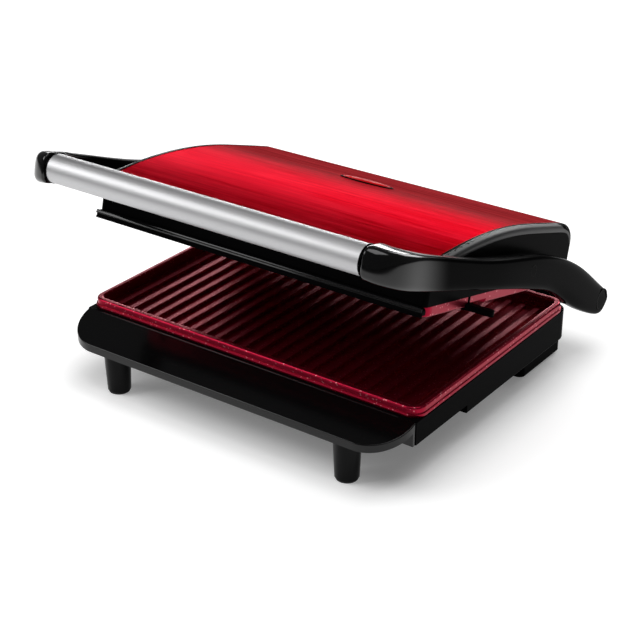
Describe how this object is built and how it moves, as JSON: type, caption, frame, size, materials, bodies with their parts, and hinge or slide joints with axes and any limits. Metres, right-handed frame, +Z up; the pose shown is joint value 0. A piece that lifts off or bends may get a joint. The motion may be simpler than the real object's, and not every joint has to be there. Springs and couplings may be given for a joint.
{
  "type": "sandwich press",
  "caption": "Hinged sandwich press with ridged plates, an arched red lid in a black frame, a bright tube handle on curved side arms and a sloping front apron on feet.",
  "frame": {"origin": "middle of the outline's box on the table, under the half-open press", "axes": "+X to the user's right along the handle, +Y to the rear hinge, +Z up"},
  "size_m": [0.33, 0.3137, 0.1941],
  "materials": {
    "satin_black": "satin moulded",
    "gloss_black": "high gloss",
    "soft_pad": "matt",
    "coated_plate": "wine-red non-stick coat",
    "bright_steel": "bright",
    "sheet_metal": "mill",
    "pale_insulator": "matt",
    "brushed_tube": "brushed along the tube",
    "red_cover": "metallic red, brushed across",
    "red_lens": "clear red",
    "board": "matt",
    "lamp_glass": "clear"
  },
  "bodies": {
    "base": {"base_shell": "satin_black", "front_apron": "gloss_black", "front_leg_left": "gloss_black", "front_leg_right": "gloss_black", "front_pads": "soft_pad", "rear_pads": "soft_pad", "rear_foot_left": "satin_black", "rear_foot_right": "satin_black", "lower_plate": "coated_plate", "lower_element": "bright_steel", "lower_clamps": "bright_steel", "lower_shield": "sheet_metal", "lower_thermostat": "sheet_metal", "thermal_fuse": "pale_insulator", "cord_gland": "satin_black", "terminal_block": "pale_insulator", "base_screws": "bright_steel", "hinge_bracket_left": "satin_black", "hinge_bracket_right": "satin_black", "hinge_screws": "bright_steel", "hinge_pin_left": "bright_steel", "hinge_pin_right": "bright_steel", "hinge_washer_left": "bright_steel", "hinge_washer_right": "bright_steel"},
    "handle": {"handle_tube": "brushed_tube", "tube_collar_left": "gloss_black", "tube_collar_right": "gloss_black", "arm_left": "gloss_black", "arm_right": "gloss_black", "arm_cover_left": "satin_black", "arm_cover_right": "satin_black", "arm_screws_left": "bright_steel", "arm_screws_right": "bright_steel", "lid_pivot_left": "bright_steel", "lid_pivot_right": "bright_steel", "pivot_cap_left": "gloss_black", "pivot_cap_right": "gloss_black", "hinge_cap_left": "gloss_black", "hinge_cap_right": "gloss_black"},
    "lid": {"lid_frame": "satin_black", "lid_cover": "red_cover", "end_cap_left": "satin_black", "end_cap_right": "satin_black", "upper_plate": "coated_plate", "upper_element": "bright_steel", "upper_clamps": "bright_steel", "upper_shield": "sheet_metal", "upper_thermostat": "sheet_metal", "pilot_lens": "red_lens", "pilot_board": "board", "pilot_lamps": "lamp_glass", "lid_screws": "bright_steel", "stop_pin": "bright_steel"},
    "finger": {"stop_finger": "satin_black"}
  },
  "joints": [
    {"name": "handle_hinge", "type": "hinge", "parent": "base", "child": "handle", "pos_m": [0, 0.14287, 0.049], "axis": [-1, 0, 0], "range_deg": [-14, 66]},
    {"name": "lid_tilt", "type": "hinge", "parent": "handle", "child": "lid", "pos_m": [0, 0.02386, 0.11907], "axis": [1, 0, 0], "range_deg": [-1.5, 1.5]},
    {"name": "finger_swivel", "type": "hinge", "parent": "lid", "child": "finger", "pos_m": [0.1432, -0.03096, 0.11007], "axis": [0, 0.2419, 0.9703], "range_deg": [0, 90]}
  ]
}
